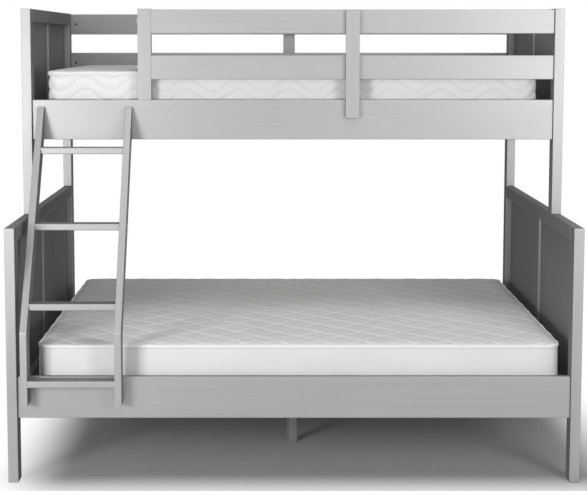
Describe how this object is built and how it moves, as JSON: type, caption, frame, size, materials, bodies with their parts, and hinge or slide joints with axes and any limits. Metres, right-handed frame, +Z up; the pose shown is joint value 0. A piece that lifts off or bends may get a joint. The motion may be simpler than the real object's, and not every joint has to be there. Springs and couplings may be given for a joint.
{
  "type": "bunk bed",
  "caption": "Grey painted bunk bed: a narrow upper bunk with guard rails stands on a wide lower bed, with a sloping ladder, slatted bases and quilted mattresses.",
  "frame": {"origin": "on the floor, under the middle of the whole piece", "axes": "+X along the bed to the end away from the ladder, +Y from the ladder side to the back, +Z up"},
  "size_m": [2.045, 1.517, 1.692],
  "materials": {
    "grey_paint": "satin paint",
    "bare_pine": "planed, unfinished",
    "zinc_steel": "zinc plated",
    "white_ticking": "quilted knit"
  },
  "bodies": {
    "lower_bed": {"lower_left_front_leg": "grey_paint", "lower_left_back_leg": "grey_paint", "lower_left_top_rail": "grey_paint", "lower_left_bottom_rail": "grey_paint", "lower_left_stile": "grey_paint", "lower_right_front_leg": "grey_paint", "lower_right_back_leg": "grey_paint", "lower_right_top_rail": "grey_paint", "lower_right_bottom_rail": "grey_paint", "lower_right_stile": "grey_paint", "lower_end_panels": "grey_paint", "lower_front_side_rail": "grey_paint", "lower_back_side_rail": "grey_paint", "lower_slat_ledgers": "bare_pine", "lower_slats": "bare_pine", "centre_support_legs": "grey_paint", "leg_hanger_bolts": "zinc_steel", "lower_frame_bolts": "zinc_steel", "lower_barrel_nuts": "zinc_steel", "lower_frame_dowels": "bare_pine", "lower_wood_screws": "zinc_steel", "stacking_pins": "zinc_steel", "lower_ladder_studs": "zinc_steel"},
    "upper_bunk": {"upper_left_front_post": "grey_paint", "upper_left_back_post": "grey_paint", "upper_left_top_rail": "grey_paint", "upper_left_bottom_rail": "grey_paint", "upper_left_stile": "grey_paint", "upper_right_front_post": "grey_paint", "upper_right_back_post": "grey_paint", "upper_right_top_rail": "grey_paint", "upper_right_bottom_rail": "grey_paint", "upper_right_stile": "grey_paint", "upper_end_panels": "grey_paint", "upper_front_side_rail": "grey_paint", "upper_back_side_rail": "grey_paint", "upper_slat_ledgers": "bare_pine", "upper_slats": "bare_pine", "front_guard_top_board": "grey_paint", "front_guard_lower_board": "grey_paint", "back_guard_top_board": "grey_paint", "back_guard_lower_board": "grey_paint", "guard_entry_post": "grey_paint", "front_guard_mid_post": "grey_paint", "back_guard_mid_post": "grey_paint", "upper_frame_bolts": "zinc_steel", "upper_barrel_nuts": "zinc_steel", "upper_frame_dowels": "bare_pine", "upper_wood_screws": "zinc_steel", "upper_ladder_studs": "zinc_steel"},
    "ladder": {"ladder_left_stringer": "grey_paint", "ladder_right_stringer": "grey_paint", "ladder_rung_1": "grey_paint", "ladder_rung_2": "grey_paint", "ladder_rung_3": "grey_paint", "ladder_rung_4": "grey_paint", "ladder_screws": "zinc_steel"},
    "lower_pad": {"lower_mattress": "white_ticking"},
    "upper_pad": {"upper_mattress": "white_ticking"}
  },
  "joints": [
    {"name": "upper_bunk_lift", "type": "slide", "parent": "lower_bed", "child": "upper_bunk", "axis": [0, 0, 1], "range_m": [0, 0.15]},
    {"name": "ladder_lift", "type": "slide", "parent": "upper_bunk", "child": "ladder", "axis": [0, 0, 1], "range_m": [0, 0.08]},
    {"name": "upper_mattress_lift", "type": "slide", "parent": "upper_bunk", "child": "upper_pad", "axis": [0, 0, 1], "range_m": [0, 0.45]},
    {"name": "lower_mattress_lift", "type": "slide", "parent": "lower_bed", "child": "lower_pad", "axis": [0, 0, 1], "range_m": [0, 0.09]}
  ]
}
